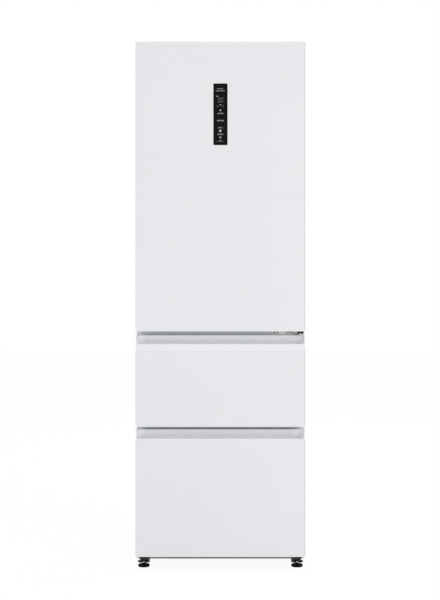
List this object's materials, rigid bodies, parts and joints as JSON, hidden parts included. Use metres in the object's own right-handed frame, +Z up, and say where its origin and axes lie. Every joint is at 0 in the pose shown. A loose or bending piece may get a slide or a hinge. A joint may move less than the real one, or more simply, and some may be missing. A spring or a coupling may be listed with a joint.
{
  "type": "fridge freezer",
  "caption": "Free-standing fridge freezer: a hinged fridge door with a narrow black display above two freezer drawers with finger-scoop handle caps, on levelling feet.",
  "frame": {"origin": "on the floor, under the middle of the outline", "axes": "+Z up, -Y towards the fronts, +X towards the hinge side of the door"},
  "size_m": [0.595, 0.66, 1.86],
  "materials": {
    "front_paint": "fine silver paint",
    "cabinet_paint": "light grey paint",
    "zinc_steel": "zinc plated sheet",
    "pan_steel": "dark grey paint",
    "foam": "rigid foam",
    "white_plastic": "moulded, satin",
    "cap_plastic": "silver moulding",
    "clear_plastic": "clear moulding",
    "shelf_glass": "toughened glass",
    "black_glass": "polished black",
    "black_plastic": "moulded black",
    "gasket_rubber": "soft extrusion",
    "mount_rubber": "moulded rubber",
    "black_steel": "black paint",
    "coil_aluminium": "plain fins"
  },
  "bodies": {
    "cabinet": {"cabinet_shell": "cabinet_paint", "rear_panel": "cabinet_paint", "bottom_deck": "zinc_steel", "base_pan": "pan_steel", "insulation": "foam", "fridge_liner": "white_plastic", "freezer_liner": "white_plastic", "mullion_rails": "cabinet_paint", "air_duct": "white_plastic", "light_cover": "white_plastic", "glass_shelves": "shelf_glass", "shelf_trims": "white_plastic", "drawer_lids": "clear_plastic", "evaporator_cover": "white_plastic", "evaporator": "coil_aluminium", "fan_motor": "black_plastic", "compressor": "black_steel", "compressor_mounts": "mount_rubber", "condenser_coil": "black_steel", "drip_tray": "white_plastic", "compressor_cover": "cabinet_paint", "cabinet_rails": "zinc_steel", "top_hinge": "zinc_steel", "top_hinge_cover": "cap_plastic", "middle_hinge": "zinc_steel", "hinge_screws": "zinc_steel", "foot_bosses": "black_plastic", "foot_pads": "black_plastic"},
    "fridge_door": {"door_skin": "front_paint", "door_liner": "white_plastic", "door_foam": "foam", "door_top_cap": "cap_plastic", "door_bottom_cap": "cap_plastic", "door_gasket": "gasket_rubber", "display_glass": "black_glass", "hinge_bushes": "black_plastic", "upper_door_shelf": "clear_plastic", "middle_door_shelf": "clear_plastic", "bottle_shelf": "clear_plastic"},
    "middle_drawer": {"middle_skin": "front_paint", "middle_handle_cap": "cap_plastic", "middle_inner_panel": "white_plastic", "middle_gasket": "gasket_rubber", "middle_carriage": "zinc_steel", "middle_basket": "clear_plastic"},
    "lower_drawer": {"lower_skin": "front_paint", "lower_handle_cap": "cap_plastic", "lower_inner_panel": "white_plastic", "lower_gasket": "gasket_rubber", "lower_carriage": "zinc_steel", "lower_basket": "clear_plastic"},
    "middle_runners": {"middle_runner": "zinc_steel"},
    "lower_runners": {"lower_runner": "zinc_steel"},
    "crisper": {"crisper": "clear_plastic"},
    "chill_drawer": {"chill_drawer": "clear_plastic"},
    "fan": {"fan_blade": "white_plastic"},
    "left_foot_wheel": {"left_foot_wheel": "black_plastic"},
    "right_foot_wheel": {"right_foot_wheel": "black_plastic"},
    "left_roller": {"left_roller": "black_plastic"},
    "right_roller": {"right_roller": "black_plastic"}
  },
  "joints": [
    {"name": "door_hinge", "type": "hinge", "parent": "cabinet", "child": "fridge_door", "pos_m": [0.2825, -0.3, 1.35], "axis": [0, 0, 1], "range_deg": [0, 115]},
    {"name": "middle_drawer_slide", "type": "slide", "parent": "cabinet", "child": "middle_drawer", "axis": [0, -1, 0], "range_m": [0, 0.38]},
    {"name": "middle_runner_slide", "type": "slide", "parent": "cabinet", "child": "middle_runners", "axis": [0, -1, 0], "range_m": [0, 0.19]},
    {"name": "lower_drawer_slide", "type": "slide", "parent": "cabinet", "child": "lower_drawer", "axis": [0, -1, 0], "range_m": [0, 0.38]},
    {"name": "lower_runner_slide", "type": "slide", "parent": "cabinet", "child": "lower_runners", "axis": [0, -1, 0], "range_m": [0, 0.19]},
    {"name": "crisper_slide", "type": "slide", "parent": "cabinet", "child": "crisper", "axis": [0, -1, 0], "range_m": [0, 0.03]},
    {"name": "chill_drawer_slide", "type": "slide", "parent": "cabinet", "child": "chill_drawer", "axis": [0, -1, 0], "range_m": [0, 0.03]},
    {"name": "fan_spin", "type": "hinge", "parent": "cabinet", "child": "fan", "pos_m": [0, 0.194, 0.7146], "axis": [0, -1, 0], "continuous": true},
    {"name": "left_foot_turn", "type": "hinge", "parent": "cabinet", "child": "left_foot_wheel", "pos_m": [-0.2733, -0.242, 0.018], "axis": [0, 0, 1], "range_deg": [0, 3240]},
    {"name": "right_foot_turn", "type": "hinge", "parent": "cabinet", "child": "right_foot_wheel", "pos_m": [0.2733, -0.242, 0.018], "axis": [0, 0, 1], "range_deg": [0, 3240]},
    {"name": "left_roller_spin", "type": "hinge", "parent": "cabinet", "child": "left_roller", "pos_m": [-0.2475, 0.281, 0.015], "axis": [1, 0, 0], "continuous": true},
    {"name": "right_roller_spin", "type": "hinge", "parent": "cabinet", "child": "right_roller", "pos_m": [0.2475, 0.281, 0.015], "axis": [1, 0, 0], "continuous": true}
  ],
  "couplings": [
    {"joint": "middle_runner_slide", "follows": "middle_drawer_slide", "ratio": 0.5},
    {"joint": "lower_runner_slide", "follows": "lower_drawer_slide", "ratio": 0.5}
  ]
}
